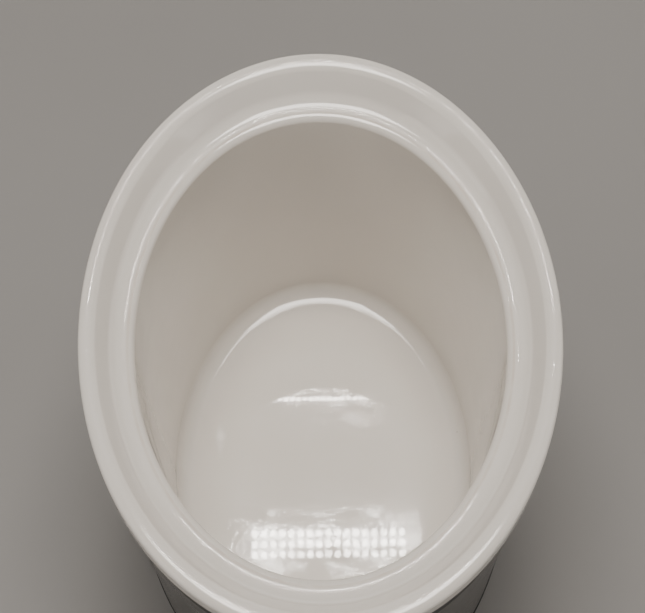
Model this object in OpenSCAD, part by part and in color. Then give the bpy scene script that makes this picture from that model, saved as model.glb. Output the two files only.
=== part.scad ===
// Oval slow cooker: a glazed stoneware crock that lifts out of an electric
// heating base. The long axis is X, the control is at the front (-Y), and the
// rubber feet stand on z = 0. The base and the crock are ovals: each one is a
// turned section stretched along X.

/* [Crock] */
// Length of the crock's rim, end to end
rim_length = 287; // [280:1:294]
// Width of the crock's rim, front to back
rim_width = 210; // [208:1:214]
// Height of the crock, foot to lip
crock_height = 170; // [166:1:174]
// Depth of the cavity below the lip
cavity_depth = 160; // [150:1:161]
// Drop from the lip to the lid ledge
ledge_drop = 14; // [13:0.5:15]
// Radius where the cavity's wall meets its floor
cavity_fillet = 8; // [8:1:16]

/* [Base] */
// Height of the crock's lip above the table
lip_height = 208; // [208:1:216]
// Gap between the crock and the heating well
well_gap = 2.5; // [2:0.1:2.8]
// Thickness of the sheet metal
sheet = 0.8; // [0.7:0.05:0.9]
// Height of the moulded base
pan_height = 48; // [48:1:52]
// Height of the handles' centre
handle_height = 118; // [112:1:126]
// Height of the rubber feet
foot_height = 6; // [5:0.5:7]

/* [Controls] */
// Height of the knob's axis
knob_height = 28; // [27:0.5:29]
// Radius of the knob's skirt
knob_r = 13; // [12:0.5:13.5]
// Angle between two knob positions
knob_step = 60; // [50:5:60]
// Radius of the switch shaft
shaft_r = 3; // [2.5:0.1:3.2]

/* [Hidden] */
$fn = 72;

// Length over width of every oval, and of the cavity, which is a little longer
oval_ratio = rim_length / rim_width;
cavity_ratio = oval_ratio * 1.017;

// Half widths of the crock, front to back
lip_r = rim_width / 2;
crock_foot_r = lip_r - 23.7;
crock_top_r = lip_r - 16;
cavity_foot_r = lip_r - 30;
cavity_top_r = lip_r - 23;
ledge_r = lip_r - 14;
foot_ring_r = 59;
foot_ring_h = 2.5;

// Heights of the crock's features
z_lip = lip_height;
z_crock_foot = z_lip - crock_height;
z_cavity = z_lip - cavity_depth;
z_ledge = z_lip - ledge_drop;
z_seat = z_lip - 17.5;

// Heating well: one millimetre below the crock's foot, and hung on the trim ring
z_well = z_crock_foot - 1;
z_well_under = z_well - sheet;
well_corner = 18;
z_well_flange = z_seat - 1.8;

// Outer shell
shell_top_r = lip_r - 5;
shell_foot_r = lip_r - 13;
z_shell_top = z_seat - 6.5;
z_shell_foot = pan_height + 0.2;
rim_turn = 5;
z_taper = 12;

// Moulded base
z_pan = foot_height;
pan_floor = 2.5;
z_pan_floor = z_pan + pan_floor;
pan_foot_r = lip_r - 14;
pan_top_r = lip_r - 10.8;
z_upstand = pan_height + 6;

// Flat faces of the moulded base, front and rear
face_y = lip_r - 10.2;
plate_t = 1.8;
plate_half_w = 29.8;
plate_half_h = 16.8;
plate_peg = [25, 12];
lamp_x = 23;

// Knob, and the blade terminals of the switch behind it
bush_r = 4.5;
bush_gap = 0.06;
knob_back = -face_y - 0.4;
knob_depth = 9.4;
knob_grips = 20;
dial_r = 15.2;
tab_offset = 6;
tab_end_y = -face_y + plate_t + 19.05;

// Heater band and its two straps
z_band = 62;
band_height = 50;
band_t = 2;
band_gap = 16;
strap_t = 0.8;
strap_height = 8;
strap_inset = 4;
strap_z = [z_band + strap_inset, z_band + band_height - strap_inset - strap_height];
ear_x = 3.6;
ear_t = 1.4;

// Power inlet
inlet_z = 27;
inlet_w = 27;
inlet_h = 20;
inlet_tail_y = 78;
blade_x = 7;
blade_z = -1.5;
earth_z = 3;
tab_y = 71;

// Handles: a ring around a point near each end of the shell
handle_x = 114;
handle_ring_r = 47.5;
handle_depth = 13;
handle_thick = 15;
handle_corner_r = 4;
handle_sweep = 100;
handle_pad_y = 45;
handle_pad_r = 10;
handle_gap = 0.1;
handle_screw_r = 2;
screw_gap = 0.02;

// Feet, and the stud that holds the base to the well
foot_x = 85;
foot_y = 46;
foot_neck_r = 3;
stud_r = 3;
stud_recess_h = 5.5;

// Thermal fuse under the well, and the leads
fuse_y = -30;
fuse_z = z_well_under - 3.2;
fuse_half = 14;
lead_r = 1.3;
heater_x = 47;

// Half width of the shell's outside and of the crock's outside at a height
function shell_r(z) = shell_foot_r + (shell_top_r - shell_foot_r) * (z - z_taper) / (z_shell_top - z_taper);
function crock_r(z) =
    crock_foot_r + (crock_top_r - crock_foot_r) * (z - z_crock_foot) / (z_seat - z_crock_foot);
function well_r(z) = crock_r(z) + well_gap;
function band_r(z) = well_r(z) + sheet + 0.2;
function strap_r(z) = band_r(z) + band_t + 0.1;
function strap_screw_y(z) = strap_r(z + strap_height) + strap_t + 1.9;

// Distance from the X axis to a lead that ends in the heater's lower edge
heater_lead_y =
    let (b = band_r(z_band) + band_t / 2 + 0.3)
    b * sqrt(1 - pow(heater_x / (b * oval_ratio), 2));

// ---------------------------------------------------------------- helpers

function unit(v) = v / norm(v);
function flat(p) = [p.x, p.y];
function cross2(u, v) = u.x * v.y - u.y * v.x;

// Tangent points, centre, radius and sense of the rounding at corner b
function corner(a, b, c) =
    let (
        u = unit(flat(a) - flat(b)),
        v = unit(flat(c) - flat(b)),
        half = acos(u * v) / 2,
        r = b[2],
        reach = r / tan(half)
    )
    [flat(b) + u * reach, flat(b) + v * reach, flat(b) + unit(u + v) * r / sin(half), r, cross2(v, u) > 0];

// The part of a corner's circle beyond its chord
module corner_segment(c) {
    away = unit((c[0] + c[1]) / 2 - c[2]) * c[3];
    intersection() {
        translate(c[2]) circle(c[3]);
        polygon([c[0], c[1], c[1] + away, c[0] + away]);
    }
}

// Outline through points [x, y, r], counterclockwise, with true arcs of radius r
module outline(points) {
    n = len(points);
    corners = [
        for (i = [0 : n - 1])
            if (len(points[i]) == 3) corner(points[(i + n - 1) % n], points[i], points[(i + 1) % n])
    ];
    path = [
        for (i = [0 : n - 1])
            each (len(points[i]) == 3
                ? let (c = corner(points[(i + n - 1) % n], points[i], points[(i + 1) % n])) [c[0], c[1]]
                : [points[i]])
    ];
    difference() {
        union() {
            polygon(path);
            for (c = corners) if (c[4]) corner_segment(c);
        }
        for (c = corners) if (!c[4]) corner_segment(c);
    }
}

// A turned section, stretched along X into an oval
module oval(ratio = oval_ratio) {
    for (quarter = [0 : 3])
        scale([ratio, 1, 1]) rotate([0, 0, quarter * 90]) rotate_extrude(angle = 90) children();
}

// A rectangle with rounded corners, centred
module rounded_rect(half_w, half_h, r) {
    outline([[-half_w, -half_h, r], [half_w, -half_h, r], [half_w, half_h, r], [-half_w, half_h, r]]);
}

// Lays a flat shape against the front: its x stays x, its y becomes z, and it
// reaches from y = near to y = far
module along_y(near, far) {
    translate([0, far, 0]) rotate([90, 0, 0]) linear_extrude(far - near) children();
}

// A rod along Y
module rod_y(x, z, r, near, far) {
    translate([x, near, z]) rotate([-90, 0, 0]) cylinder(r = r, h = far - near);
}

// Chaikin's corner cutting, which keeps both ends
function smooth(p, times) =
    times == 0
        ? p
        : smooth(
            concat(
                [p[0]],
                [for (i = [0 : len(p) - 2], t = [0.25, 0.75]) p[i] * (1 - t) + p[i + 1] * t],
                [p[len(p) - 1]]
            ),
            times - 1
        );

// Direction of a path at each of its points
function heading(p, i) = unit(p[min(i + 1, len(p) - 1)] - p[max(i - 1, 0)]);

// Side directions carried along the path without twist
function sides(p, i, previous, done = []) =
    i == len(p)
        ? done
        : let (
            h = heading(p, i),
            s = unit(previous - h * (previous * h))
        )
        sides(p, i + 1, s, concat(done, [s]));

// A lead: a tube of radius r through the points of a route
module lead(route, r) {
    count = 8;
    p = smooth(route, 2);
    start = heading(p, 0);
    seed = abs(start.z) < 0.9 ? [0, 0, 1] : [1, 0, 0];
    side = sides(p, 0, seed);
    rings = [
        for (i = [0 : len(p) - 1])
            let (other = cross(heading(p, i), side[i]))
            for (j = [0 : count - 1])
                let (angle = 360 * j / count)
                p[i] + r * (cos(angle) * side[i] + sin(angle) * other)
    ];
    last = (len(p) - 1) * count;
    faces = concat(
        [[for (j = [0 : count - 1]) j]],
        [for (i = [0 : len(p) - 2], j = [0 : count - 1])
            let (k = (j + 1) % count)
            [i * count + j, (i + 1) * count + j, (i + 1) * count + k, i * count + k]],
        [[for (j = [count - 1 : -1 : 0]) last + j]]
    );
    polyhedron(points = rings, faces = faces, convexity = 6);
}

// ---------------------------------------------------------------- crock

// Glazed stoneware pot: foot ring, tapered wall, flared rim with a raised lip,
// and a level ledge that carries a lid
module crock() {
    color("ivory")
    difference() {
        oval() outline([
            [0, z_crock_foot + foot_ring_h],
            [foot_ring_r - 2, z_crock_foot + foot_ring_h, 1.5],
            [foot_ring_r, z_crock_foot, 1.2],
            [crock_foot_r, z_crock_foot, 16],
            [crock_top_r, z_seat, 3],
            [lip_r - 5.8, z_seat, 1.5],
            [lip_r - 4, z_seat + 6, 2],
            [lip_r, z_seat + 8, 2],
            [lip_r, z_lip, 3.4],
            [lip_r - 6.4, z_lip, 4.8],
            [ledge_r, z_ledge, 8.5],
            [0, z_ledge]
        ]);
        oval(cavity_ratio) outline([
            [0, z_cavity],
            [cavity_foot_r, z_cavity, cavity_fillet],
            [cavity_top_r, z_ledge - 0.6, 3.2],
            [cavity_top_r + 6, z_ledge + 0.9],
            [cavity_top_r + 6, z_lip + 2],
            [0, z_lip + 2]
        ]);
    }
}

// ---------------------------------------------------------------- housing

// Moulded base: floor with vents, wall, shoulder and upstand for the shell, a
// flat face for the control at the front and one for the inlet at the rear
module base_pan() {
    color("#1b1b1d")
    difference() {
        union() {
            oval() outline([
                [0, z_pan],
                [pan_foot_r, z_pan, 5],
                [pan_top_r, pan_height, 0.8],
                [shell_r(pan_height) - sheet - 0.4, pan_height],
                [shell_r(z_upstand) - sheet - 0.4, z_upstand],
                [0, z_upstand]
            ]);
            flat_face(-1, 33, 17.5, 28);
            flat_face(1, 20, 15, inlet_z);
        }
        difference() {
            oval() outline([
                [0, z_pan_floor],
                [pan_foot_r - 2.4, z_pan_floor, 3],
                [shell_r(z_upstand) - sheet - 2.4, z_upstand + 0.1],
                [0, z_upstand + 0.1]
            ]);
            cylinder(r = 13, h = z_pan + 8);
        }
        control_recess();
        translate([0, face_y - 12, inlet_z])
            along_y(0, 14) rounded_rect(inlet_w / 2 + 0.2, inlet_h / 2 + 0.2, 2);
        stud_recess();
        floor_vents();
        for (x = [-1, 1], y = [-1, 1])
            translate([x * foot_x, y * foot_y, z_pan - 1]) cylinder(r = foot_neck_r + 0.1, h = pan_floor + 2);
    }
}

// A block that flattens the curved wall of the base
module flat_face(side, half_w, half_h, z) {
    near = side < 0 ? -face_y : face_y - 12;
    translate([0, 0, z]) along_y(near, near + 12) rounded_rect(half_w, half_h, 4);
}

// Recess for the control plate, with windows for the switch, the pegs and the lamp
module control_recess() {
    translate([0, 0, knob_height])
        along_y(-face_y - 1, -face_y + plate_t) rounded_rect(plate_half_w + 0.2, plate_half_h + 0.2, 3.2);
    translate([0, 0, knob_height]) along_y(-face_y, -face_y + 14) rounded_rect(11, 11, 1);
    rod_y(lamp_x, knob_height, 4.6, -face_y, -face_y + 14);
    for (side = [-1, 1])
        rod_y(side * plate_peg.x, knob_height - side * plate_peg.y, 2.1, -face_y, -face_y + 14);
}

// Counterbored hole that takes the stud, washer and nut
module stud_recess() {
    translate([0, 0, z_pan - 1]) cylinder(r = 10, h = stud_recess_h + 1);
    translate([0, 0, z_pan]) cylinder(r = stud_r + 0.3, h = 12);
}

// Two rows of slots in the floor
module floor_vents() {
    for (x = [-5 : 5], y = [-1, 1])
        if (x != 0)
            translate([x * 9, y * 36, z_pan - 1])
                linear_extrude(pan_floor + 2) rounded_rect(1.5, 11, 1.4);
}

// Stainless wrap around the base, with a rim turned in at the top and holes for
// the handle screws
module outer_shell() {
    rim_r = shell_top_r - rim_turn;
    color("silver")
    difference() {
        oval() outline([
            [shell_r(z_shell_foot) - sheet, z_shell_foot],
            [shell_r(z_shell_foot), z_shell_foot],
            [shell_top_r, z_shell_top, 1.2],
            [rim_r, z_shell_top],
            [rim_r, z_shell_top - sheet],
            [shell_top_r - sheet, z_shell_top - sheet, 0.4]
        ]);
        handle_screw_sites() cylinder(r = handle_screw_r + 0.3, h = 20, center = true);
    }
}

// Moulded ring: caps the shell, carries the well's flange and seats the crock
module trim_ring() {
    inner = well_r(z_seat) + sheet + 0.5;
    seat_r = shell_top_r - 4.2;
    color("#1b1b1d")
    oval() outline([
        [inner, z_shell_top],
        [shell_top_r + 0.4, z_shell_top],
        [shell_top_r + 0.4, z_shell_top - 4.5],
        [shell_top_r + 2.2, z_shell_top - 4.5, 0.6],
        [shell_top_r + 2.2, z_seat + 3.2, 0.6],
        [shell_top_r + 0.9, z_seat + 3.2, 0.4],
        [shell_top_r + 0.9, z_seat, 0.6],
        [seat_r, z_seat, 0.4],
        [seat_r, z_well_flange],
        [inner, z_well_flange]
    ]);
}

// Drawn liner that surrounds the crock, hung by its flange
module heating_well() {
    color("#a9adb0")
    oval() {
        difference() {
            outline([
                [0, z_well_under],
                [well_r(z_well) + sheet, z_well_under, well_corner + sheet],
                [well_r(z_well_flange) + sheet, z_well_flange + sheet],
                [0, z_well_flange + sheet]
            ]);
            outline([
                [0, z_well],
                [well_r(z_well), z_well, well_corner],
                [well_r(z_well_flange), z_well_flange + sheet + 0.01],
                [0, z_well_flange + sheet + 0.01]
            ]);
        }
        translate([well_r(z_well_flange) + sheet / 2, z_well_flange])
            square([shell_top_r - 4.7 - well_r(z_well_flange) - sheet / 2, sheet]);
    }
}

// ---------------------------------------------------------------- heater

// An upright band from height low to high, with inner half widths r_low and r_high
module tapered_band(r_low, r_high, thickness, low, high) {
    oval() polygon([
        [r_low, low],
        [r_low + thickness, low],
        [r_high + thickness, high],
        [r_high, high]
    ]);
}

// A slot cut through the rear of a band
module rear_slot(width) {
    translate([-width / 2, 40, 0]) cube([width, 80, z_lip]);
}

// Resistance wire sealed in a glass-fibre band around the well
module heater_band() {
    top = z_band + band_height;
    color("#c9c2ae")
    difference() {
        tapered_band(band_r(z_band), band_r(top), band_t, z_band, top);
        rear_slot(band_gap);
    }
}

// Two steel straps, each with a pair of ears at the rear
module band_straps() {
    color("#8c9094")
    for (z = strap_z) {
        top = z + strap_height;
        difference() {
            union() {
                difference() {
                    tapered_band(strap_r(z), strap_r(top), strap_t, z, top);
                    rear_slot(2 * ear_x + ear_t);
                }
                for (side = [-1, 1])
                    translate([side * (ear_x + ear_t / 2) - ear_t / 2, strap_screw_y(z) - 2.6, z])
                        cube([ear_t, 4.2, strap_height]);
            }
            translate([0, strap_screw_y(z), z + strap_height / 2])
                rotate([0, 90, 0]) cylinder(r = 1.35, h = 20, center = true);
        }
    }
}

// Screw and nut that pull each strap tight
module strap_screws() {
    color("#c7cace")
    for (z = strap_z)
        translate([0, strap_screw_y(z), z + strap_height / 2]) rotate([0, 90, 0]) {
            cylinder(r = 1.2, h = 15, center = true);
            translate([0, 0, ear_x + ear_t + 0.1]) cylinder(r = 1.7, h = 1.8);
            translate([0, 0, -ear_x - ear_t - 1.9]) cylinder(r = 1.75, h = 1.8, $fn = 6);
        }
}

// Bright shield between the heater and the shell, open at the rear
module heat_reflector() {
    low = z_upstand + 1;
    high = z_shell_top - 8;
    color("#d6d8da")
    difference() {
        tapered_band(shell_r(low) - sheet - 1.5, shell_r(high) - sheet - 1.5, 0.5, low, high);
        rear_slot(30);
        handle_screw_sites() cylinder(r = 6, h = 30, center = true);
    }
}

// Threaded stud welded under the well: it pulls the base up against the shell
module well_stud() {
    color("#b9bcc0") {
        translate([0, 0, z_pan + 0.2]) cylinder(r = stud_r, h = z_well_under - z_pan - 0.2);
        translate([0, 0, z_well_under - 1.4]) cylinder(r = 10, h = 1.4);
    }
}

module base_washer() {
    color("#b9bcc0")
    translate([0, 0, z_pan + stud_recess_h - 1]) difference() {
        cylinder(r = 8, h = 1);
        translate([0, 0, -1]) cylinder(r = stud_r + 0.2, h = 3);
    }
}

module base_nut() {
    color("#b9bcc0")
    translate([0, 0, z_pan + 0.5]) difference() {
        cylinder(r = 5.7, h = 4, $fn = 6);
        translate([0, 0, -1]) cylinder(r = stud_r + screw_gap, h = 6);
    }
}

// Push-in rubber foot: pad below the floor, neck through it, barb above it
module foot(x, y) {
    color("#26262a")
    translate([x * foot_x, y * foot_y, 0]) rotate_extrude() outline([
        [0, 0],
        [8.6, 0, 1.5],
        [9.4, z_pan, 0.5],
        [foot_neck_r, z_pan],
        [foot_neck_r, z_pan_floor + 0.1],
        [foot_neck_r + 1.2, z_pan_floor + 0.1],
        [2.6, z_pan_floor + 3],
        [0, z_pan_floor + 3]
    ]);
}

// ---------------------------------------------------------------- handles

// Where the four handle screws pass through the shell, each along the outward
// normal of the oval there
module handle_screw_sites() {
    for (x = [-1, 1], y = [-1, 1]) handle_site(x, y) children();
}

module handle_site(x, y) {
    b = shell_r(handle_height);
    a = b * oval_ratio;
    site_x = a * sqrt(1 - pow(handle_pad_y / b, 2));
    outward = atan2(y * handle_pad_y / (b * b), x * site_x / (a * a));
    translate([x * site_x, y * handle_pad_y, handle_height])
        rotate([0, 0, outward]) rotate([0, 90, 0]) children();
}

// Looped handle on the right: part of a ring that ends in two pads against the shell
module handle() {
    color("#1b1b1d")
    difference() {
        union() {
            translate([handle_x, 0, handle_height])
                rotate([0, 0, -handle_sweep])
                rotate_extrude(angle = 2 * handle_sweep)
                translate([handle_ring_r, 0])
                rounded_rect(handle_depth / 2, handle_thick / 2, handle_corner_r);
            for (end = [-1, 1])
                handle_site(1, end)
                    translate([0, 0, -6]) cylinder(r1 = handle_pad_r, r2 = handle_pad_r - 1.5, h = 15);
        }
        oval() polygon([
            [0, z_shell_foot],
            [shell_r(z_shell_foot) + handle_gap, z_shell_foot],
            [shell_r(z_shell_top) + handle_gap, z_shell_top],
            [0, z_shell_top]
        ]);
        for (end = [-1, 1])
            handle_site(1, end) translate([0, 0, -8]) cylinder(r = handle_screw_r + screw_gap, h = 18);
    }
}

// Pan-head screws from inside the shell
module handle_screws() {
    color("#c7cace")
    handle_screw_sites() {
        translate([0, 0, -sheet - 3.3]) cylinder(r = 3.9, h = 2.4);
        translate([0, 0, -sheet - 1]) cylinder(r = handle_screw_r, h = 10.5);
    }
}

// ---------------------------------------------------------------- control

// Plate let into the front face, with two pegs and holes for switch and lens
module control_plate() {
    color("#2b2b2e")
    difference() {
        union() {
            translate([0, 0, knob_height])
                along_y(-face_y, -face_y + plate_t) rounded_rect(plate_half_w, plate_half_h, 3);
            for (side = [-1, 1])
                rod_y(side * plate_peg.x, knob_height - side * plate_peg.y, 2, -face_y + 1, -face_y + 7);
        }
        rod_y(0, knob_height, bush_r + 0.1, -face_y - 1, -face_y + 3);
        rod_y(lamp_x, knob_height, 2.7, -face_y - 1, -face_y + 3);
    }
}

// A dot at each of the four knob positions, growing with the heat
module dial_marks() {
    sizes = [0.6, 0.8, 1.1, 0.7];
    color("white")
    for (i = [0 : 3]) {
        angle = 180 - i * knob_step;
        rod_y(dial_r * cos(angle), knob_height + dial_r * sin(angle), sizes[i], -face_y - 0.3, -face_y);
    }
}

// Rotary switch: housing, threaded bush and four blade terminals
module rotary_switch() {
    front = -face_y + plate_t + 0.05;
    color("#e4dfd0")
    difference() {
        union() {
            translate([0, 0, knob_height]) along_y(front, front + 13) rounded_rect(10, 10, 1);
            rod_y(0, knob_height, bush_r, front - 5.2, front + 1);
            for (x = [-1, 1], z = [-1, 1])
                translate([x * tab_offset - 0.4, front + 12.5, knob_height + z * tab_offset - 2.4])
                    cube([0.8, tab_end_y - front - 12.5, 4.8]);
        }
        rod_y(0, knob_height, shaft_r + bush_gap, front - 6, front + 10.5);
    }
}

module switch_nut() {
    color("#c7cace")
    difference() {
        translate([0, -face_y - 0.1, knob_height]) rotate([90, 0, 0]) cylinder(r = 6.6, h = 1.8, $fn = 6);
        rod_y(0, knob_height, bush_r + screw_gap, -face_y - 3, -face_y + 1);
    }
}

// Shaft that carries the knob and turns in the switch
module switch_shaft() {
    color("#d9d4c4")
    rod_y(0, knob_height, shaft_r, knob_back - knob_depth + 1.3, -face_y + 11.8);
}

// Knob: a tapered skirt with a scalloped edge, hollow over the nut
module knob() {
    color("#1b1b1d")
    difference() {
        translate([0, knob_back, knob_height]) rotate([90, 0, 0]) rotate_extrude() outline([
            [shaft_r + 0.02, 3.2],
            [9.5, 3.2, 0.6],
            [9.5, 0],
            [knob_r, 0, 0.5],
            [knob_r - 1.5, knob_depth, 1.5],
            [0, knob_depth],
            [0, knob_depth - 1.2],
            [shaft_r + 0.02, knob_depth - 1.2]
        ]);
        for (i = [0 : knob_grips - 1])
            translate([0, knob_back, knob_height]) rotate([90, (i + 0.5) * 360 / knob_grips, 0])
                translate([knob_r + 0.2, 0, 2]) cylinder(r1 = 1, r2 = 1.6, h = knob_depth);
        pointer_slot(0.02);
    }
}

// Groove, or insert, that points at the chosen dot
module pointer_slot(gap) {
    top = knob_back - knob_depth - (gap > 0 ? 1 : 0.12);
    bottom = knob_back - knob_depth + 0.6 + gap;
    translate([-10.2 - gap, top, knob_height - 0.9 - gap])
        cube([7 + 2 * gap, bottom - top, 1.8 + 2 * gap]);
}

module knob_pointer() {
    color("white") pointer_slot(0);
}

// Domed lens with a flange behind the plate
module pilot_lens() {
    color("#d2451e")
    translate([lamp_x, -face_y + plate_t + 0.9, knob_height]) rotate([90, 0, 0]) rotate_extrude() outline([
        [0, 0],
        [3.9, 0],
        [3.9, 0.8],
        [2.6, 0.8],
        [2.6, 3.8, 1.2],
        [0, 3.8]
    ]);
}

// Neon indicator in its glass
module pilot_lamp() {
    color("#f0a070")
    translate([lamp_x, -face_y + plate_t + 11, knob_height]) rotate([90, 0, 0]) rotate_extrude() outline([
        [0, 0],
        [2.2, 0],
        [2.2, 9.8, 2],
        [0, 9.8]
    ]);
}

// ---------------------------------------------------------------- electrics

// One-shot fuse in a glass-fibre sleeve, held against the well
module thermal_fuse() {
    color("#e9e2c8")
    translate([-fuse_half, fuse_y, fuse_z]) rotate([0, 90, 0]) cylinder(r = 2.8, h = 2 * fuse_half);
}

// Spring clip that presses the fuse to the underside of the well
module fuse_clip() {
    color("#b9bcc0")
    difference() {
        translate([-4, fuse_y - 3.8, fuse_z - 3.8]) cube([8, 16, z_well_under - fuse_z + 3.8]);
        translate([-5, fuse_y, fuse_z]) rotate([0, 90, 0]) cylinder(r = 3, h = 10);
        translate([-5, fuse_y - 3, fuse_z]) cube([10, 6, 5]);
        translate([-5, fuse_y + 3.8, fuse_z - 5]) cube([10, 10, z_well_under - fuse_z + 4]);
    }
}

// Mains inlet: flange, body and socket, open to the rear
module power_inlet() {
    color("#161618")
    difference() {
        union() {
            translate([0, 0, inlet_z])
                along_y(face_y, face_y + 1.8) rounded_rect(inlet_w / 2 + 2, inlet_h / 2 + 2, 2.5);
            translate([0, 0, inlet_z])
                along_y(inlet_tail_y, face_y + 0.5) rounded_rect(inlet_w / 2, inlet_h / 2, 1.8);
        }
        translate([0, 0, inlet_z]) along_y(face_y - 12.6, face_y + 3) rounded_rect(12, 8.2, 1.5);
        inlet_blades(0.05, inlet_tail_y - 1, face_y);
    }
}

// The three contacts, or the slots that hold them
module inlet_blades(gap, near, far) {
    for (p = [[-blade_x, blade_z], [blade_x, blade_z], [0, earth_z]])
        translate([p.x - 1 - gap, near, inlet_z + p.y - 2 - gap])
            cube([2 + 2 * gap, far - near, 4 + 2 * gap]);
}

module inlet_pins() {
    color("#d8c27a") inlet_blades(0, tab_y, face_y - 2);
}

// Inlet to fuse
module live_lead() {
    color("#6b4226")
    lead([
        [blade_x, tab_y, inlet_z + blade_z],
        [blade_x, tab_y - 12, inlet_z + blade_z],
        [26, 50, 18],
        [34, 20, 16],
        [36, -12, 22],
        [30, fuse_y, fuse_z],
        [20, fuse_y, fuse_z],
        [fuse_half, fuse_y, fuse_z]
    ], lead_r);
}

// Fuse to switch
module fused_lead() {
    color("#6b4226")
    lead([
        [-fuse_half, fuse_y, fuse_z],
        [-20, fuse_y, fuse_z],
        [-26, -38, 24],
        [-16, -52, 18],
        [-tab_offset, -62, knob_height - tab_offset],
        [-tab_offset, tab_end_y, knob_height - tab_offset]
    ], lead_r);
}

// The last stretch of a lead, up to the heater's lower edge
function up_to_heater(side_x, side_y) =
    [for (z = [42, 54, z_band]) [side_x * heater_x, side_y * heater_lead_y, z]];

// Inlet to the common end of the heater
module neutral_lead() {
    color("#3a6ea5")
    lead(concat([
        [-blade_x, tab_y, inlet_z + blade_z],
        [-blade_x, tab_y - 10, inlet_z + blade_z],
        [-20, 56, 17],
        [-40, 62, 16],
        [-heater_x, 74, 26]
    ], up_to_heater(-1, 1)), lead_r);
}

// Switch to the whole of the heater, which runs it at its low power
module low_lead() {
    color("#c9c9c4")
    lead(concat([
        [-tab_offset, tab_end_y, knob_height + tab_offset],
        [-tab_offset, tab_end_y + 7, knob_height + tab_offset],
        [-20, tab_end_y + 14, 33],
        [-38, tab_end_y + 8, 31],
        [-heater_x, -76, 33]
    ], up_to_heater(-1, -1)), lead_r);
}

// Switch to half of the heater, which runs it at its high power
module high_lead() {
    color("#a03028")
    lead(concat([
        [tab_offset, tab_end_y, knob_height - tab_offset],
        [tab_offset, tab_end_y + 7, knob_height - tab_offset],
        [16, -56, 18],
        [34, -60, 16],
        [heater_x, -72, 24]
    ], up_to_heater(1, -1)), lead_r);
}

// Inlet to the stud under the well
module earth_lead() {
    color("#5c8f3a")
    lead([
        [0, tab_y, inlet_z + earth_z],
        [0, tab_y - 10, inlet_z + earth_z],
        [-4, 40, 26],
        [0, 24, 30],
        [0, 14, z_well_under - 2.7],
        [0, 3, z_well_under - 2.7]
    ], lead_r);
}

crock();
base_pan();
outer_shell();
trim_ring();
heating_well();
heater_band();
band_straps();
strap_screws();
heat_reflector();
well_stud();
base_washer();
base_nut();
foot(-1, -1);  // foot_front_left
foot(1, -1);  // foot_front_right
foot(-1, 1);  // foot_rear_left
foot(1, 1);  // foot_rear_right
rotate([0, 0, 180]) handle();  // handle_left
handle();  // handle_right
handle_screws();
control_plate();
dial_marks();
rotary_switch();
switch_nut();
switch_shaft();
knob();
knob_pointer();
pilot_lens();
pilot_lamp();
thermal_fuse();
fuse_clip();
power_inlet();
inlet_pins();
live_lead();
fused_lead();
neutral_lead();
low_lead();
high_lead();
earth_lead();
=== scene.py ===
"""The looks of the oval slow cooker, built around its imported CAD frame.

The crock, the steel wrap, the trim ring and the well are remade here as smooth
turned ovals, and the wrap gets a seam. Every other CAD piece keeps its mesh and
gets a material.
"""

import math

import bmesh
import bpy
from mathutils import Matrix, Vector


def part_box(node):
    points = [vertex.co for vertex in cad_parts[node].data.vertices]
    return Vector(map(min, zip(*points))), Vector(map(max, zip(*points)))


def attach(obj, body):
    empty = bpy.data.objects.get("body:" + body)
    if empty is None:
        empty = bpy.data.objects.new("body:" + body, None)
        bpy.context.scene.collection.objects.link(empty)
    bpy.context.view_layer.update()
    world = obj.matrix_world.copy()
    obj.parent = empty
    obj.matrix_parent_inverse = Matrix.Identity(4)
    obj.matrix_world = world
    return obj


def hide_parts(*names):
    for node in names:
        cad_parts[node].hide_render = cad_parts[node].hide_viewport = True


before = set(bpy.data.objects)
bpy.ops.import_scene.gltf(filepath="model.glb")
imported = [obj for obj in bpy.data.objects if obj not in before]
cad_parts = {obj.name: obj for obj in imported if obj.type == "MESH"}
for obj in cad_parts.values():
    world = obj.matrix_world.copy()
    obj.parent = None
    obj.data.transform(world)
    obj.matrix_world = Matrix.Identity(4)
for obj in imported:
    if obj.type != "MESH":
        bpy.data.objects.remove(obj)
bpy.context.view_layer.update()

MM = 0.001
ROUND_STEPS = 240  # segments round an oval
ON_AXIS = 0.01  # a point nearer than this to the axis is the centre of a flat face

# ------------------------------------------------------------------ measures, in millimetres

crock_low, crock_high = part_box("crock")
shell_low, shell_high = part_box("outer_shell")
ring_low, ring_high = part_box("trim_ring")
well_low, well_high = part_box("heating_well")

OVAL = (crock_high.x - crock_low.x) / (crock_high.y - crock_low.y)
CAVITY_OVAL = OVAL * 1.017
LIP_R = crock_high.y / MM
LIP_Z = crock_high.z / MM
FOOT_Z = crock_low.z / MM
SEAT_Z = LIP_Z - 17.5
LEDGE_R = LIP_R - 14
LEDGE_Z = LIP_Z - 14
OPENING_R = LIP_R - 23
CAVITY_FOOT_R = LIP_R - 30
CAVITY_Z = LIP_Z - 160
CROCK_FOOT_R = LIP_R - 23.7
CROCK_TOP_R = LIP_R - 16
FOOT_RING_R = 59
FOOT_RING_H = 2.5
SHELL_TOP_R = shell_high.y / MM
SHELL_TOP_Z = shell_high.z / MM
SHELL_FOOT_Z = shell_low.z / MM
SHEET = 0.8  # thickness of the sheet metal
SHELL_TAPER = 8 / 172  # growth of the shell's half width with height
FLANGE_Z = well_high.z / MM - SHEET
WELL_Z = well_low.z / MM + SHEET
WELL_GAP = 2.5
WELL_CORNER = 18


def shell_r(z):
    """Half width of the wrap's outside at a height."""
    return SHELL_TOP_R - (SHELL_TOP_Z - z) * SHELL_TAPER


def well_r(z):
    """Half width of the well's inside at a height: the crock's outside and a gap."""
    return CROCK_FOOT_R + (CROCK_TOP_R - CROCK_FOOT_R) * (z - FOOT_Z) / (SEAT_Z - FOOT_Z) + WELL_GAP


# ------------------------------------------------------------------ mesh helpers


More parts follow.
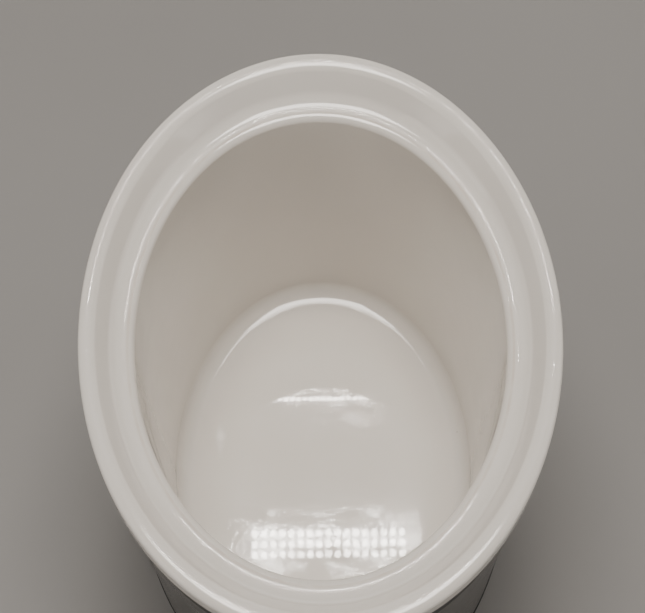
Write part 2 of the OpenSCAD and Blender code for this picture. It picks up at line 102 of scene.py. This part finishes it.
def rounded(points, closed=True, turn=7.0):
    """The outline through points (r, z, radius) in millimetres, with each corner as an arc.

    Returns (r, z, bend) triples, where bend is the corner's curvature per millimetre: above 0
    on an outer edge, and below 0 in a hollow.
    """
    outline = []
    count = len(points)
    for i, point in enumerate(points):
        at_end = not closed and i in (0, count - 1)
        if len(point) == 2 or at_end:
            outline.append((point[0], point[1], 0.0))
            continue
        corner = Vector(point[:2])
        back = (Vector(points[i - 1][:2]) - corner).normalized()
        ahead = (Vector(points[(i + 1) % count][:2]) - corner).normalized()
        half = back.angle(ahead) / 2
        radius = point[2]
        centre = corner + (back + ahead).normalized() * (radius / math.sin(half))
        first = corner + back * (radius / math.tan(half)) - centre
        last = corner + ahead * (radius / math.tan(half)) - centre
        sweep = math.atan2(first.x * last.y - first.y * last.x, first.dot(last))
        start = math.atan2(first.y, first.x)
        steps = max(3, math.ceil(math.degrees(abs(sweep)) / turn))
        bend = math.copysign(1 / radius, sweep)
        for k in range(steps + 1):
            angle = start + sweep * k / steps
            outline.append((centre.x + radius * math.cos(angle), centre.y + radius * math.sin(angle), bend))
    return outline


def spaced(outline, closed=True, longest=5.0):
    """The outline with extra points wherever two of them are more than longest apart."""
    out = []
    count = len(outline)
    for i, (r, z, bend) in enumerate(outline):
        out.append((r, z, bend))
        if not closed and i == count - 1:
            break
        next_r, next_z, _ = outline[(i + 1) % count]
        parts = math.ceil(math.hypot(next_r - r, next_z - z) / longest)
        for k in range(1, parts):
            t = k / parts
            out.append((r + (next_r - r) * t, z + (next_z - z) * t, 0.0))
    return out


def turned(name, outline, closed=True, ratio=None, body="base", stands_for=None, uneven=0.0):
    """A turned section stretched into an oval, with its corners' bends kept as a vertex attribute.

    ratio(r, z) is the length over the width of the oval through a point of the section, and
    uneven is how far, in millimetres, the surface is drawn in by slow waves.
    """
    ratio = ratio or (lambda r, z: OVAL)
    verts, faces, bends, rings = [], [], [], []
    for r, z, bend in outline:
        if r < ON_AXIS:
            rings.append([len(verts)])
            verts.append((0, 0, z * MM))
            bends.append(bend)
            continue
        ring = []
        stretch = ratio(r, z)
        for k in range(ROUND_STEPS):
            angle = 2 * math.pi * k / ROUND_STEPS
            wave = 0.5 + 0.25 * (math.sin(3 * angle + z / 31) + math.sin(5 * angle - z / 19 + 1.3))
            drawn = r - uneven * wave
            ring.append(len(verts))
            verts.append((drawn * stretch * math.cos(angle) * MM, drawn * math.sin(angle) * MM, z * MM))
            bends.append(bend)
        rings.append(ring)
    last = len(rings) if closed else len(rings) - 1
    for i in range(last):
        low, high = rings[i], rings[(i + 1) % len(rings)]
        if len(low) == 1 and len(high) == 1:
            continue
        for k in range(ROUND_STEPS):
            n = (k + 1) % ROUND_STEPS
            if len(low) == 1:
                faces.append((low[0], high[n], high[k]))
            elif len(high) == 1:
                faces.append((low[k], low[n], high[0]))
            else:
                faces.append((low[k], low[n], high[n], high[k]))
    return piece(name, verts, faces, body, stands_for, {"bend": bends})


def piece(name, verts, faces, body, stands_for=None, attributes=None):
    """A smooth-shaded mesh object that rides on a body."""
    mesh = bpy.data.meshes.new(name)
    mesh.from_pydata(verts, [], faces)
    for key, values in (attributes or {}).items():
        layer = mesh.attributes.new(key, "FLOAT", "POINT")
        layer.data.foreach_set("value", values)
    mesh.polygons.foreach_set("use_smooth", [True] * len(mesh.polygons))
    mesh.update()
    obj = bpy.data.objects.new(name, mesh)
    bpy.context.scene.collection.objects.link(obj)
    weighted = obj.modifiers.new("weighted", "WEIGHTED_NORMAL")
    weighted.keep_sharp = True
    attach(obj, body)
    if stands_for:
        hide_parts(stands_for)
    return obj


# ------------------------------------------------------------------ material helpers


class Material:
    """A material with a Principled shader, built node by node in object coordinates."""

    def __init__(self, name, **sockets):
        self.material = bpy.data.materials.new(name)
        self.material.use_nodes = True
        self.tree = self.material.node_tree
        self.shader = self.tree.nodes["Principled BSDF"]
        for socket, value in sockets.items():
            self.shader.inputs[socket.replace("_", " ")].default_value = value
        self.place = self.tree.nodes.new("ShaderNodeTexCoord").outputs["Object"]

    def make(self, kind, inputs=None, **settings):
        """A node of that kind, with its settings made and its inputs linked or set."""
        node = self.tree.nodes.new("ShaderNode" + kind)
        for key, value in settings.items():
            setattr(node, key, value)
        for key, value in (inputs or {}).items():
            self.give(node.inputs[key], value)
        return node

    def give(self, socket, value):
        if isinstance(value, bpy.types.NodeSocket):
            self.tree.links.new(value, socket)
        else:
            socket.default_value = value

    def stretched(self, x, y, z):
        """Coordinates scaled along each axis, so a texture runs long where the scale is small."""
        return self.make("Mapping", {"Vector": self.place, "Scale": (x, y, z)}).outputs["Vector"]

    def noise(self, scale, detail=3.0, roughness=0.5, at=None):
        node = self.make(
            "TexNoise",
            {"Vector": at or self.place, "Scale": scale, "Detail": detail, "Roughness": roughness},
        )
        return node.outputs["Fac"]

    def spots(self, scale, at=None):
        """Distance to the nearest of a set of scattered points."""
        node = self.make("TexVoronoi", {"Vector": at or self.place, "Scale": scale})
        return node.outputs["Distance"]

    def spread(self, value, low, high, out_low=0.0, out_high=1.0):
        """Maps low to high onto out_low to out_high, and holds it there beyond."""
        inputs = {"Value": value, "From Min": low, "From Max": high, "To Min": out_low, "To Max": out_high}
        return self.make("MapRange", inputs).outputs["Result"]

    def times(self, a, b):
        return self.make("Math", {0: a, 1: b}, operation="MULTIPLY").outputs[0]

    def plus(self, a, b):
        return self.make("Math", {0: a, 1: b}, operation="ADD").outputs[0]

    def height(self):
        return self.make("SeparateXYZ", {"Vector": self.place}).outputs["Z"]

    def attribute(self, name):
        return self.make("Attribute", attribute_name=name).outputs["Fac"]

    def blend(self, factor, a, b):
        """Colour a where factor is 0 and colour b where it is 1."""
        node = self.make("Mix", {"Factor": factor}, data_type="RGBA")
        self.give(node.inputs[6], colour(a))
        self.give(node.inputs[7], colour(b))
        return node.outputs[2]

    def edges(self, radius):
        """1 at edges sharper than radius, in metres, and 0 on open faces."""
        soft = self.make("Bevel", {"Radius": radius}, samples=4).outputs["Normal"]
        hard = self.make("NewGeometry").outputs["Normal"]
        dot = self.make("VectorMath", {0: soft, 1: hard}, operation="DOT_PRODUCT").outputs["Value"]
        return self.spread(dot, 0.995, 0.93)

    def finish(self, base=None, roughness=None, bumps=()):
        """Links the colour, the roughness and the bumps, each (height, strength, distance in metres)."""
        if base is not None:
            self.give(self.shader.inputs["Base Color"], base)
        if roughness is not None:
            self.give(self.shader.inputs["Roughness"], roughness)
        normal = None
        for height, strength, distance in bumps:
            inputs = {"Height": height, "Strength": strength, "Distance": distance}
            if normal is not None:
                inputs["Normal"] = normal
            normal = self.make("Bump", inputs).outputs["Normal"]
        if normal is not None:
            self.tree.links.new(normal, self.shader.inputs["Normal"])
        return self.material


def colour(value):
    """Adds alpha to a plain colour, and passes a socket through."""
    return (*value, 1.0) if isinstance(value, tuple) and len(value) == 3 else value


def dress(material, *nodes):
    """Gives CAD nodes their material."""
    for name in nodes:
        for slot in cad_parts[name].material_slots:
            slot.material = material


# ------------------------------------------------------------------ materials


def white_glaze():
    """Gloss white glaze: warm, a little uneven, thin on tight edges, with rare specks.

    The clay is bare under the foot.
    """
    m = Material("white_glaze", IOR=1.52, Coat_Weight=0.6, Coat_Roughness=0.015, Coat_IOR=1.5)
    body = m.blend(m.spread(m.noise(14.0, 4.0), 0.3, 0.7), (0.760, 0.718, 0.662), (0.785, 0.748, 0.697))
    pooled = m.blend(m.spread(m.noise(55.0, 3.0), 0.55, 0.8, 0.0, 0.35), body, (0.770, 0.738, 0.69))
    patchy = m.spread(m.noise(90.0, 3.0), 0.3, 0.75, 0.15, 0.6)
    thin = m.times(m.spread(m.attribute("bend"), 0.25, 0.7), patchy)
    thinned = m.blend(thin, pooled, (0.60, 0.52, 0.45))
    speck = m.times(m.spread(m.spots(55.0), 0.035, 0.02), m.spread(m.noise(21.0, 2.0), 0.60, 0.64))
    specked = m.blend(m.times(speck, 0.8), thinned, (0.16, 0.13, 0.11))
    bare = m.spread(m.height(), (FOOT_Z + 2.4) * MM, (FOOT_Z + 1.2) * MM)
    clay = m.blend(m.noise(400.0, 4.0), (0.50, 0.43, 0.34), (0.66, 0.58, 0.47))
    base = m.blend(bare, specked, clay)
    gloss = m.spread(m.noise(30.0, 3.0), 0.3, 0.7, 0.045, 0.085)
    roughness = m.make("Mix", {"Factor": bare}, data_type="FLOAT")
    m.give(roughness.inputs[2], gloss)
    m.give(roughness.inputs[3], 0.85)
    waves = (m.noise(24.0, 2.0), 0.10, 0.004)
    peel = (m.noise(260.0, 2.0), 0.04, 0.0006)
    return m.finish(base, roughness.outputs[0], [waves, peel])


def brushed_steel():
    """Dark stainless sheet brushed round the base, with faint smears."""
    m = Material("brushed_dark_steel", Metallic=1.0, Anisotropic=0.5)
    lines = m.noise(1.0, 5.0, 0.65, m.stretched(7, 7, 2600))
    fine = m.noise(1.0, 3.0, 0.6, m.stretched(30, 30, 9000))
    smear = m.spread(m.noise(16.0, 4.0), 0.35, 0.75)
    base = m.blend(m.spread(lines, 0.3, 0.7), (0.125, 0.122, 0.118), (0.215, 0.211, 0.204))
    base = m.blend(m.times(smear, 0.25), base, (0.22, 0.213, 0.20))
    roughness = m.plus(m.spread(lines, 0.3, 0.7, 0.22, 0.34), m.times(smear, 0.07))
    return m.finish(base, roughness, [(lines, 0.12, 0.0002), (fine, 0.08, 0.0001)])


def moulded_plastic(name, dark, light, rough=(0.36, 0.48), grain=1400.0, wear_and_highlight_tone=(0.10, 0.10, 0.10)):
    """Moulded plastic: fine grain, faint cloudiness, and edges a little lighter, partly rubbed wear and
    partly a painted highlight.
    """
    m = Material(name, IOR=1.47)
    cloud = m.noise(20.0, 4.0)
    base = m.blend(m.spread(cloud, 0.3, 0.7), dark, light)
    # Lighter colour on sharp edges: partly rubbed wear, partly a painted highlight where a rounded edge
    # would catch light.
    rubbed_and_highlight = m.times(m.edges(0.0006), m.spread(m.noise(140.0, 3.0), 0.4, 0.7, 0.1, 0.7))
    base = m.blend(rubbed_and_highlight, base, wear_and_highlight_tone)
    roughness = m.spread(m.noise(60.0, 4.0), 0.3, 0.7, *rough)
    return m.finish(base, roughness, [(m.noise(grain, 2.0), 0.25, 0.0001), (cloud, 0.05, 0.0008)])


def rubber():
    """Matt rubber, dusty towards the table."""
    m = Material("matt_rubber", IOR=1.45)
    dust = m.times(m.spread(m.height(), 0.006, 0.0), m.spread(m.noise(180.0, 4.0), 0.35, 0.7))
    base = m.blend(m.times(dust, 0.5), (0.022, 0.022, 0.024), (0.11, 0.105, 0.10))
    return m.finish(base, m.spread(m.noise(90.0), 0.3, 0.7, 0.7, 0.85), [(m.noise(1800.0), 0.3, 0.0001)])


def drawn_aluminium():
    """The well's satin sheet: drawn upward, with stains from heat near the band."""
    m = Material("drawn_aluminium", Metallic=1.0)
    lines = m.noise(1.0, 4.0, 0.6, m.stretched(420, 420, 9))
    heat = m.times(m.spread(m.noise(26.0, 4.0), 0.35, 0.7), m.spread(m.height(), 0.13, 0.07))
    base = m.blend(m.spread(lines, 0.3, 0.7), (0.52, 0.525, 0.53), (0.66, 0.665, 0.67))
    base = m.blend(m.times(heat, 0.45), base, (0.50, 0.44, 0.34))
    roughness = m.spread(m.noise(45.0, 4.0), 0.3, 0.7, 0.30, 0.45)
    return m.finish(base, roughness, [(lines, 0.10, 0.0002)])


def plated(name, dark, light, rough=(0.28, 0.42)):
    """Plated metal with a mottled finish."""
    m = Material(name, Metallic=1.0)
    base = m.blend(m.spread(m.noise(320.0, 4.0), 0.3, 0.7), dark, light)
    return m.finish(base, m.spread(m.noise(120.0, 3.0), 0.3, 0.7, *rough), [(m.noise(900.0), 0.1, 0.0001)])


def foil():
    """Bright foil with soft creases."""
    m = Material("bright_foil", Metallic=1.0)
    creases = m.spots(60.0)
    base = m.blend(m.spread(m.noise(40.0, 3.0), 0.3, 0.7), (0.66, 0.67, 0.68), (0.80, 0.81, 0.82))
    return m.finish(base, m.spread(creases, 0.0, 0.6, 0.12, 0.28), [(creases, 0.25, 0.0006)])


def glass_fibre(name, dark, light):
    """Woven glass-fibre tape."""
    m = Material(name, IOR=1.5)
    weave = []
    for along in ((0, 0, 7), (7, 7, 0)):
        wave = m.make("TexWave", {"Vector": m.stretched(*along), "Scale": 60.0})
        weave.append(wave.outputs["Fac"])
    threads = m.times(*weave)
    base = m.blend(m.plus(m.times(threads, 0.6), m.times(m.noise(70.0, 4.0), 0.4)), dark, light)
    return m.finish(base, m.spread(m.noise(50.0), 0.3, 0.7, 0.75, 0.9), [(threads, 0.5, 0.0003)])


def wire(name, dark, light):
    """Silicone wire cover with faint dirt."""
    m = Material(name, IOR=1.43)
    base = m.blend(m.spread(m.noise(150.0, 4.0), 0.3, 0.7), dark, light)
    return m.finish(base, m.spread(m.noise(80.0), 0.3, 0.7, 0.35, 0.5), [(m.noise(1200.0), 0.1, 0.0001)])


def print_white():
    """White print, slightly worn."""
    m = Material("white_print", IOR=1.45)
    faded = m.spread(m.noise(900.0, 3.0), 0.55, 0.75, 0.0, 0.5)
    base = m.blend(faded, (0.78, 0.78, 0.76), (0.45, 0.45, 0.44))
    return m.finish(base, m.spread(m.noise(400.0), 0.3, 0.7, 0.4, 0.55), [(m.noise(2500.0), 0.1, 0.00005)])


def amber_lens():
    """Unlit amber lens, moulded and slightly cloudy."""
    m = Material("amber_lens", IOR=1.49, Transmission_Weight=0.45)
    base = m.blend(m.spread(m.noise(500.0, 2.0), 0.3, 0.7), (0.62, 0.11, 0.02), (0.80, 0.20, 0.05))
    return m.finish(base, m.spread(m.noise(300.0), 0.3, 0.7, 0.12, 0.2), [(m.noise(1500.0), 0.05, 0.0001)])


def lamp_glass():
    """Thin glass round the neon lamp."""
    m = Material("lamp_glass", IOR=1.5, Transmission_Weight=0.8)
    base = m.blend(m.spread(m.noise(600.0, 2.0), 0.3, 0.7), (0.85, 0.72, 0.62), (0.92, 0.82, 0.74))
    return m.finish(base, m.spread(m.noise(300.0), 0.3, 0.7, 0.04, 0.1))


def pale_floor():
    """Plain pale floor with the faintest variation."""
    m = Material("pale_floor", IOR=1.4)
    base = m.blend(m.spread(m.noise(2.2, 5.0), 0.3, 0.7), (0.262, 0.254, 0.246), (0.282, 0.274, 0.266))
    return m.finish(base, m.spread(m.noise(6.0), 0.3, 0.7, 0.62, 0.75), [(m.noise(500.0), 0.04, 0.0003)])


# ------------------------------------------------------------------ turned pieces


def cavity_r(z):
    """Half width of the cavity at a height."""
    return CAVITY_FOOT_R + (OPENING_R - CAVITY_FOOT_R) * (z - CAVITY_Z) / (LEDGE_Z - CAVITY_Z)


def crock_ratio(r, z):
    """The cavity's ovals are a little longer than the outside's."""
    on_ledge = r < LEDGE_R + 0.1 and z > LEDGE_Z - 3
    in_cavity = r < cavity_r(z) + 0.5 and z > CAVITY_Z - 0.01
    if not (on_ledge or in_cavity):
        return OVAL
    inside = (LEDGE_R - r) / 7
    return OVAL + (CAVITY_OVAL - OVAL) * min(1.0, max(0.0, inside))


def make_crock(material):
    """The glazed crock, from the centre of its underside round the rim to the centre of its floor."""
    section = [
        (0, FOOT_Z + FOOT_RING_H),
        (FOOT_RING_R - 2, FOOT_Z + FOOT_RING_H, 1.5),
        (FOOT_RING_R, FOOT_Z, 1.2),
        (CROCK_FOOT_R, FOOT_Z, 16),
        (CROCK_TOP_R, SEAT_Z, 3),
        (LIP_R - 5.8, SEAT_Z, 1.5),
        (LIP_R - 4, SEAT_Z + 6, 2),
        (LIP_R, SEAT_Z + 8, 2),
        (LIP_R, LIP_Z, 3.4),
        (LIP_R - 6.4, LIP_Z, 4.8),
        (LEDGE_R, LEDGE_Z, 8.5),
        (LIP_R - 20.6, LEDGE_Z, 0.6),
        (OPENING_R, LEDGE_Z - 0.6, 3.2),
        (CAVITY_FOOT_R, CAVITY_Z, 8),
        (0, CAVITY_Z),
    ]
    outline = spaced(rounded(section, closed=False), closed=False)
    obj = turned("crock_glazed", outline, False, crock_ratio, "crock", "crock", uneven=0.35)
    obj.data.materials.append(material)


def make_shell(material):
    """The brushed wrap, with its rim turned in."""
    rim_r = SHELL_TOP_R - 5
    section = [
        (shell_r(SHELL_FOOT_Z) - SHEET, SHELL_FOOT_Z, 0.2),
        (shell_r(SHELL_FOOT_Z), SHELL_FOOT_Z, 0.3),
        (SHELL_TOP_R, SHELL_TOP_Z, 1.2),
        (rim_r, SHELL_TOP_Z, 0.2),
        (rim_r, SHELL_TOP_Z - SHEET, 0.2),
        (SHELL_TOP_R - SHEET, SHELL_TOP_Z - SHEET, 0.4),
    ]
    outline = spaced(rounded(section))
    obj = turned("shell_brushed", outline, stands_for="outer_shell")
    obj.data.materials.append(material)


def make_seam(material):
    """The shell's folded seam, down the middle of the rear."""
    section = ((-3.6, -0.1), (-3.4, 0.3), (-2.6, 0.42), (2.6, 0.42), (3.4, 0.3), (3.6, -0.1))
    levels = 24
    low, high = SHELL_FOOT_Z + 0.6, SHELL_TOP_Z - 8
    verts = []
    for level in range(levels + 1):
        z = low + (high - low) * level / levels
        half_width = shell_r(z)
        for x, proud in section:
            y = half_width * math.sqrt(1 - (x / (half_width * OVAL)) ** 2) + proud
            verts.append((x * MM, y * MM, z * MM))
    count = len(section)
    faces = [tuple(range(count)), tuple(range(levels * count + count - 1, levels * count - 1, -1))]
    for level in range(levels):
        for i in range(count):
            n = (i + 1) % count
            first = level * count
            faces.append((first + i, first + count + i, first + count + n, first + n))
    obj = piece("shell_seam", verts, faces, "base")
    obj.data.materials.append(material)


def make_ring(material):
    """The moulded ring under the crock's rim."""
    low = ring_low.z / MM
    high = ring_high.z / MM
    inner = well_r(SEAT_Z) + SHEET + 0.5
    shell_side = SHELL_TOP_R + 0.4
    crock_side = SHELL_TOP_R + 0.9
    outer = SHELL_TOP_R + 2.2
    seat_r = SHELL_TOP_R - 4.2
    section = [
        (inner, SHELL_TOP_Z, 0.3),
        (shell_side, SHELL_TOP_Z, 0.2),
        (shell_side, low, 0.2),
        (outer, low, 0.6),
        (outer, high, 0.6),
        (crock_side, high, 0.4),
        (crock_side, SEAT_Z, 0.6),
        (seat_r, SEAT_Z, 0.4),
        (seat_r, FLANGE_Z, 0.3),
        (inner, FLANGE_Z, 0.3),
    ]
    outline = spaced(rounded(section))
    obj = turned("trim_ring_moulded", outline, stands_for="trim_ring")
    obj.data.materials.append(material)


def make_well(material):
    """The liner that shows when the crock is lifted out: floor, wall and flange."""
    outer_flange = SHELL_TOP_R - 4.7
    section = [
        (0, WELL_Z - SHEET),
        (well_r(WELL_Z) + SHEET, WELL_Z - SHEET, WELL_CORNER + SHEET),
        (well_r(FLANGE_Z) + SHEET, FLANGE_Z, 0.5),
        (outer_flange, FLANGE_Z, 0.2),
        (outer_flange, FLANGE_Z + SHEET, 0.2),
        (well_r(FLANGE_Z + SHEET), FLANGE_Z + SHEET, 1.2),
        (well_r(WELL_Z), WELL_Z, WELL_CORNER),
        (0, WELL_Z),
    ]
    outline = spaced(rounded(section, closed=False), closed=False)
    obj = turned("well_drawn", outline, False, stands_for="heating_well")
    obj.data.materials.append(material)


# ------------------------------------------------------------------ stage


def make_floor():
    """A large plain floor under the object."""
    builder = bmesh.new()
    bmesh.ops.create_grid(builder, x_segments=24, y_segments=24, size=6.0)
    mesh = bpy.data.meshes.new("floor")
    builder.to_mesh(mesh)
    builder.free()
    floor = bpy.data.objects.new("floor", mesh)
    bpy.context.scene.collection.objects.link(floor)
    floor.data.materials.append(pale_floor())


def area_light(name, place, aim, size, power, tint=(1.0, 0.950, 0.89)):
    """A soft rectangular light at place, in metres, that faces aim."""
    data = bpy.data.lights.new(name, "AREA")
    data.shape = "RECTANGLE"
    data.size, data.size_y = size
    data.energy = power
    data.color = tint
    light = bpy.data.objects.new(name, data)
    light.location = place
    light.rotation_euler = (Vector(aim) - Vector(place)).to_track_quat("-Z", "Y").to_euler()
    bpy.context.scene.collection.objects.link(light)
    return data


LAMP_R = 0.36  # radius of a lamp, as a share of its cell


def divide(light, columns, rows):
    """Divides a light into columns and rows of round lamps."""
    light.use_nodes = True
    tree = light.node_tree

    def node(kind, operation, *inputs):
        made = tree.nodes.new("ShaderNode" + kind)
        made.operation = operation
        for socket, value in zip(made.inputs, inputs):
            if isinstance(value, bpy.types.NodeSocket):
                tree.links.new(value, socket)
            else:
                socket.default_value = value
        return made.outputs

    place = tree.nodes.new("ShaderNodeNewGeometry").outputs["Parametric"]
    cells = node("VectorMath", "MULTIPLY", place, (columns, rows, 0))[0]
    cell = node("VectorMath", "SUBTRACT", node("VectorMath", "FRACTION", cells)[0], (0.5, 0.5, 0))[0]
    reach = node("VectorMath", "LENGTH", cell)["Value"]
    tree.links.new(node("Math", "LESS_THAN", reach, LAMP_R)[0], tree.nodes["Emission"].inputs["Strength"])


# Ceiling lamps: name, distance from the middle towards the left-hand end, offset along Y,
# length and depth, all in metres, then power in watts, columns and rows
CEILING_Z = 1.95
CEILING = (
    ("lamps_far", 1.035, 0.02, 0.16, 0.010, 1.0, 16, 1),
    ("lamps_middle", 0.957, 0.005, 0.27, 0.010, 1.2, 24, 1),
    ("lamps_near", 0.680, 0.003, 0.27, 0.054, 4.8, 17, 3),
)


def make_lights():
    """A big soft light overhead, soft fill at both sides, and ceiling lamps that the glaze reflects."""
    rim = (0, 0, LIP_Z * MM)
    cavity_floor = (0, 0, CAVITY_Z * MM)
    area_light("overhead", (-0.15, 0.0, 2.4), (-0.12, 0, 0), (1.3, 0.8), 49)
    area_light("fill_front", (0.5, -2.2, 1.3), rim, (1.6, 1.2), 6)
    area_light("fill_rear", (-0.3, 2.4, 1.4), rim, (1.6, 1.2), 5)
    for name, along, aside, length, depth, power, columns, rows in CEILING:
        lamps = area_light(name, (-along, aside, CEILING_Z), cavity_floor, (length, depth), power)
        divide(lamps, columns, rows)


def make_world():
    """A studio that is brightest at the horizon, which lights the base but not the cavity."""
    world = bpy.data.worlds.new("studio")
    world.use_nodes = True
    tree = world.node_tree
    background = tree.nodes["Background"]
    background.inputs["Color"].default_value = (1.0, 0.955, 0.90, 1.0)
    direction = tree.nodes.new("ShaderNodeTexCoord").outputs["Generated"]
    axes = tree.nodes.new("ShaderNodeSeparateXYZ")
    fade = tree.nodes.new("ShaderNodeMapRange")
    fade.interpolation_type = "SMOOTHSTEP"
    for socket, value in (("From Min", 0.0), ("From Max", 0.22), ("To Min", 2.0), ("To Max", 0.13)):
        fade.inputs[socket].default_value = value
    tree.links.new(direction, axes.inputs["Vector"])
    tree.links.new(axes.outputs["Z"], fade.inputs["Value"])
    tree.links.new(fade.outputs["Result"], background.inputs["Strength"])
    bpy.context.scene.world = world


# The camera's place from the rim's centre, in half widths of the rim, and its angles in degrees
CAMERA_DISTANCE = 3.257
CAMERA_RISE = 5.954
CAMERA_ASIDE = 0.0131
CAMERA_PITCH = 61
CAMERA_ROLL = -1.23
FOCAL_LENGTH = 1650  # in pixels of a frame that is FRAME_WIDTH wide
FRAME_WIDTH = 645


def make_camera():
    """Looks steeply down from beyond the right-hand end, along -X."""
    half_width = LIP_R * MM
    place = Vector((CAMERA_DISTANCE, CAMERA_ASIDE, CAMERA_RISE)) * half_width + Vector((0, 0, LIP_Z * MM))
    pitch = math.radians(CAMERA_PITCH)
    roll = math.radians(CAMERA_ROLL)
    ahead = Vector((-math.cos(pitch), 0, -math.sin(pitch)))
    right = Vector((0, 1, 0))
    up = right.cross(ahead)
    turn = Matrix.Rotation(-roll, 3, ahead)
    right, up = turn @ right, turn @ up
    data = bpy.data.cameras.new("camera")
    data.sensor_width = 36
    data.lens = FOCAL_LENGTH * data.sensor_width / FRAME_WIDTH
    data.clip_start, data.clip_end = 0.01, 50
    camera = bpy.data.objects.new("camera", data)
    camera.matrix_world = Matrix((right, up, -ahead)).transposed().to_4x4()
    camera.matrix_world.translation = place
    bpy.context.scene.collection.objects.link(camera)
    bpy.context.scene.camera = camera


# ------------------------------------------------------------------ making

GLAZE = white_glaze()
STEEL = brushed_steel()
BLACK = moulded_plastic("moulded_black", (0.014, 0.014, 0.015), (0.022, 0.022, 0.023))

make_crock(GLAZE)
make_shell(STEEL)
make_seam(STEEL)
make_ring(BLACK)
make_well(drawn_aluminium())

ZINC = plated("zinc_plated", (0.50, 0.51, 0.53), (0.68, 0.69, 0.71))
dress(BLACK, "base_pan", "handle_left", "handle_right", "power_inlet")
dress(
    moulded_plastic("plate_plastic", (0.018, 0.018, 0.020), (0.028, 0.028, 0.031), (0.30, 0.42), 2200.0),
    "control_plate",
)
dress(
    moulded_plastic("knob_plastic", (0.012, 0.012, 0.013), (0.018, 0.018, 0.019), (0.20, 0.32), 2600.0),
    "knob",
)
# The switch body's lighter edge tone is partly wear and partly a painted highlight.
dress(
    moulded_plastic("switch_body", (0.55, 0.50, 0.40), (0.68, 0.64, 0.54), wear_and_highlight_tone=(0.75, 0.72, 0.64)),
    "rotary_switch",
    "switch_shaft",
)
dress(
    ZINC,
    "band_straps",
    "strap_screws",
    "well_stud",
    "base_washer",
    "base_nut",
    "handle_screws",
    "switch_nut",
    "fuse_clip",
)
dress(plated("brass_plated", (0.62, 0.50, 0.26), (0.80, 0.68, 0.40)), "inlet_pins")
dress(rubber(), "foot_front_left", "foot_front_right", "foot_rear_left", "foot_rear_right")
dress(foil(), "heat_reflector")
dress(glass_fibre("glass_fibre_band", (0.50, 0.45, 0.32), (0.80, 0.76, 0.64)), "heater_band")
dress(glass_fibre("fuse_sleeve", (0.62, 0.58, 0.46), (0.86, 0.83, 0.74)), "thermal_fuse")
dress(print_white(), "dial_marks", "knob_pointer")
dress(amber_lens(), "pilot_lens")
dress(lamp_glass(), "pilot_lamp")
dress(wire("wire_brown", (0.10, 0.045, 0.02), (0.16, 0.08, 0.04)), "live_lead", "fused_lead")
dress(wire("wire_blue", (0.03, 0.10, 0.26), (0.05, 0.15, 0.34)), "neutral_lead")
dress(wire("wire_white", (0.55, 0.55, 0.53), (0.70, 0.70, 0.68)), "low_lead")
dress(wire("wire_red", (0.30, 0.03, 0.02), (0.42, 0.05, 0.03)), "high_lead")
dress(wire("wire_green", (0.07, 0.22, 0.04), (0.12, 0.32, 0.06)), "earth_lead")

make_floor()
make_lights()
make_world()
make_camera()
